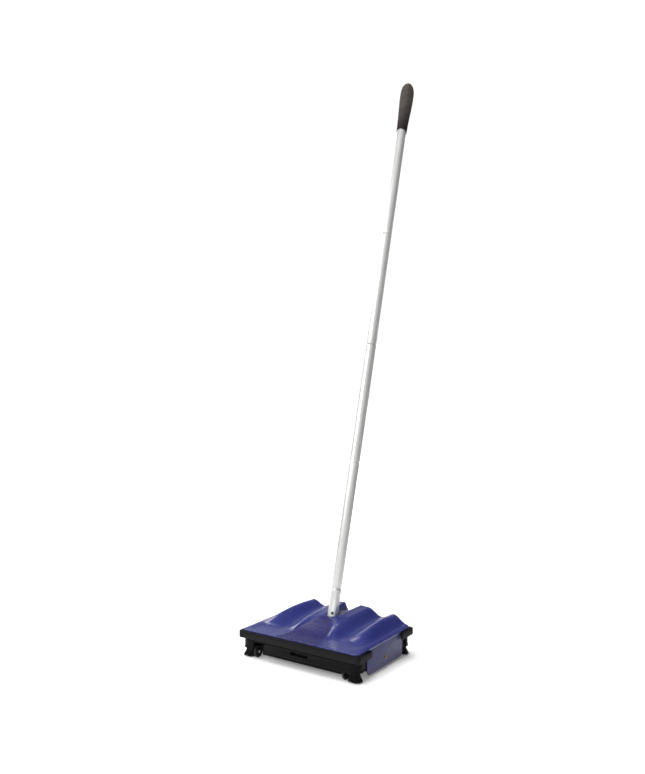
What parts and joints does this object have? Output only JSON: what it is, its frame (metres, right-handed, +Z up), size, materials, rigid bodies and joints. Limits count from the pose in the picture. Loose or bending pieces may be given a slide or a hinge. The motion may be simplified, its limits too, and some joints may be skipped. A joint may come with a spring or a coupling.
{
  "type": "carpet sweeper",
  "caption": "Manual carpet sweeper: a low head with a friction-driven rotor, hinged dust pans, corner brushes and rubber bumpers, pushed by a tilting tube handle with a rubber grip.",
  "frame": {"origin": "on the floor, under the middle of the object's bounding box", "axes": "+Z up, +X across the head to its right side, +Y from the head's front towards the user, the way the handle leans"},
  "size_m": [0.2514, 0.4172, 1.1187],
  "materials": {
    "cover_blue": "glossy",
    "panel_blue_grey": "satin",
    "black_enamel": "satin",
    "bumper_rubber": "matte",
    "bristle": "matte",
    "black_plastic": "matte",
    "wheel_rubber": "matte",
    "brass": "worn",
    "tube_metal": "satin",
    "grip_rubber": "matte",
    "dark_steel": "dull",
    "plain_steel": "zinc plated"
  },
  "bodies": {
    "head": {"top_cover": "cover_blue", "chassis_frame": "black_enamel", "bulkhead_left": "black_enamel", "side_panel_left": "panel_blue_grey", "pivot_rivet_left": "brass", "bearing_sleeve_left": "brass", "bulkhead_right": "black_enamel", "side_panel_right": "panel_blue_grey", "pivot_rivet_right": "brass", "bearing_sleeve_right": "brass", "front_skirt": "black_enamel", "front_bumper": "bumper_rubber", "rear_skirt": "black_enamel", "rear_bumper": "bumper_rubber", "corner_brush_front_left": "bristle", "brush_holder_front_left": "black_plastic", "corner_brush_front_right": "bristle", "brush_holder_front_right": "black_plastic", "corner_brush_rear_left": "bristle", "brush_holder_rear_left": "black_plastic", "corner_brush_rear_right": "bristle", "brush_holder_rear_right": "black_plastic", "axle_front": "plain_steel", "axle_rear": "plain_steel", "corner_axle_front_left": "plain_steel", "corner_axle_front_right": "plain_steel", "corner_axle_rear_left": "plain_steel", "corner_axle_rear_right": "plain_steel", "hinge_rod_front": "plain_steel", "pan_spring_front": "plain_steel", "hinge_rod_rear": "plain_steel", "pan_spring_rear": "plain_steel"},
    "handle": {"bail": "plain_steel", "handle_stem": "plain_steel", "stem_screw": "dark_steel", "handle_tube_base": "tube_metal", "handle_tube_1": "tube_metal", "handle_tube_2": "tube_metal", "handle_tube_3": "tube_metal", "handle_tube_4": "tube_metal", "handle_grip": "grip_rubber"},
    "rotor": {"rotor_shaft": "plain_steel", "rotor_core": "black_plastic", "rotor_blade_1": "bumper_rubber", "rotor_blade_2": "bumper_rubber", "rotor_blade_3": "bumper_rubber", "rotor_blade_4": "bumper_rubber", "drive_roller_left": "bumper_rubber", "drive_roller_right": "bumper_rubber"},
    "drive_wheel_front_left": {"drive_wheel_front_left": "wheel_rubber"},
    "drive_wheel_front_right": {"drive_wheel_front_right": "wheel_rubber"},
    "drive_wheel_rear_left": {"drive_wheel_rear_left": "wheel_rubber"},
    "drive_wheel_rear_right": {"drive_wheel_rear_right": "wheel_rubber"},
    "corner_wheel_front_left": {"corner_wheel_front_left": "black_plastic"},
    "corner_wheel_front_right": {"corner_wheel_front_right": "black_plastic"},
    "corner_wheel_rear_left": {"corner_wheel_rear_left": "black_plastic"},
    "corner_wheel_rear_right": {"corner_wheel_rear_right": "black_plastic"},
    "pan_front": {"dust_pan_front": "black_enamel"},
    "pan_rear": {"dust_pan_rear": "black_enamel"}
  },
  "joints": [
    {"name": "handle_tilt", "type": "hinge", "parent": "head", "child": "handle", "pos_m": [0, -0.11536, 0.0193], "axis": [-1, 0, 0], "range_deg": [0, 46]},
    {"name": "rotor_spin", "type": "hinge", "parent": "head", "child": "rotor", "pos_m": [0, -0.11536, 0.0193], "axis": [1, 0, 0], "continuous": true},
    {"name": "drive_wheel_front_left_spin", "type": "hinge", "parent": "head", "child": "drive_wheel_front_left", "pos_m": [-0.105, -0.14457, 0.017], "axis": [1, 0, 0], "continuous": true},
    {"name": "drive_wheel_front_right_spin", "type": "hinge", "parent": "head", "child": "drive_wheel_front_right", "pos_m": [0.105, -0.14457, 0.017], "axis": [1, 0, 0], "continuous": true},
    {"name": "drive_wheel_rear_left_spin", "type": "hinge", "parent": "head", "child": "drive_wheel_rear_left", "pos_m": [-0.105, -0.08615, 0.017], "axis": [1, 0, 0], "continuous": true},
    {"name": "drive_wheel_rear_right_spin", "type": "hinge", "parent": "head", "child": "drive_wheel_rear_right", "pos_m": [0.105, -0.08615, 0.017], "axis": [1, 0, 0], "continuous": true},
    {"name": "corner_wheel_front_left_spin", "type": "hinge", "parent": "head", "child": "corner_wheel_front_left", "pos_m": [-0.0917, -0.19496, 0.011], "axis": [1, 0, 0], "continuous": true},
    {"name": "corner_wheel_front_right_spin", "type": "hinge", "parent": "head", "child": "corner_wheel_front_right", "pos_m": [0.0917, -0.19496, 0.011], "axis": [1, 0, 0], "continuous": true},
    {"name": "corner_wheel_rear_left_spin", "type": "hinge", "parent": "head", "child": "corner_wheel_rear_left", "pos_m": [-0.0917, -0.03576, 0.011], "axis": [1, 0, 0], "continuous": true},
    {"name": "corner_wheel_rear_right_spin", "type": "hinge", "parent": "head", "child": "corner_wheel_rear_right", "pos_m": [0.0917, -0.03576, 0.011], "axis": [1, 0, 0], "continuous": true},
    {"name": "pan_front_open", "type": "hinge", "parent": "head", "child": "pan_front", "pos_m": [0, -0.20036, 0.018], "axis": [-1, 0, 0], "range_deg": [0, 45], "stiffness_Nm_per_rad": 0.15, "springref_deg": -34.38},
    {"name": "pan_rear_open", "type": "hinge", "parent": "head", "child": "pan_rear", "pos_m": [0, -0.03036, 0.018], "axis": [1, 0, 0], "range_deg": [0, 45], "stiffness_Nm_per_rad": 0.15, "springref_deg": -34.38}
  ],
  "couplings": [
    {"joint": "drive_wheel_front_left_spin", "follows": "rotor_spin", "ratio": -0.70588},
    {"joint": "drive_wheel_front_right_spin", "follows": "rotor_spin", "ratio": -0.70588},
    {"joint": "drive_wheel_rear_left_spin", "follows": "rotor_spin", "ratio": -0.70588},
    {"joint": "drive_wheel_rear_right_spin", "follows": "rotor_spin", "ratio": -0.70588}
  ]
}
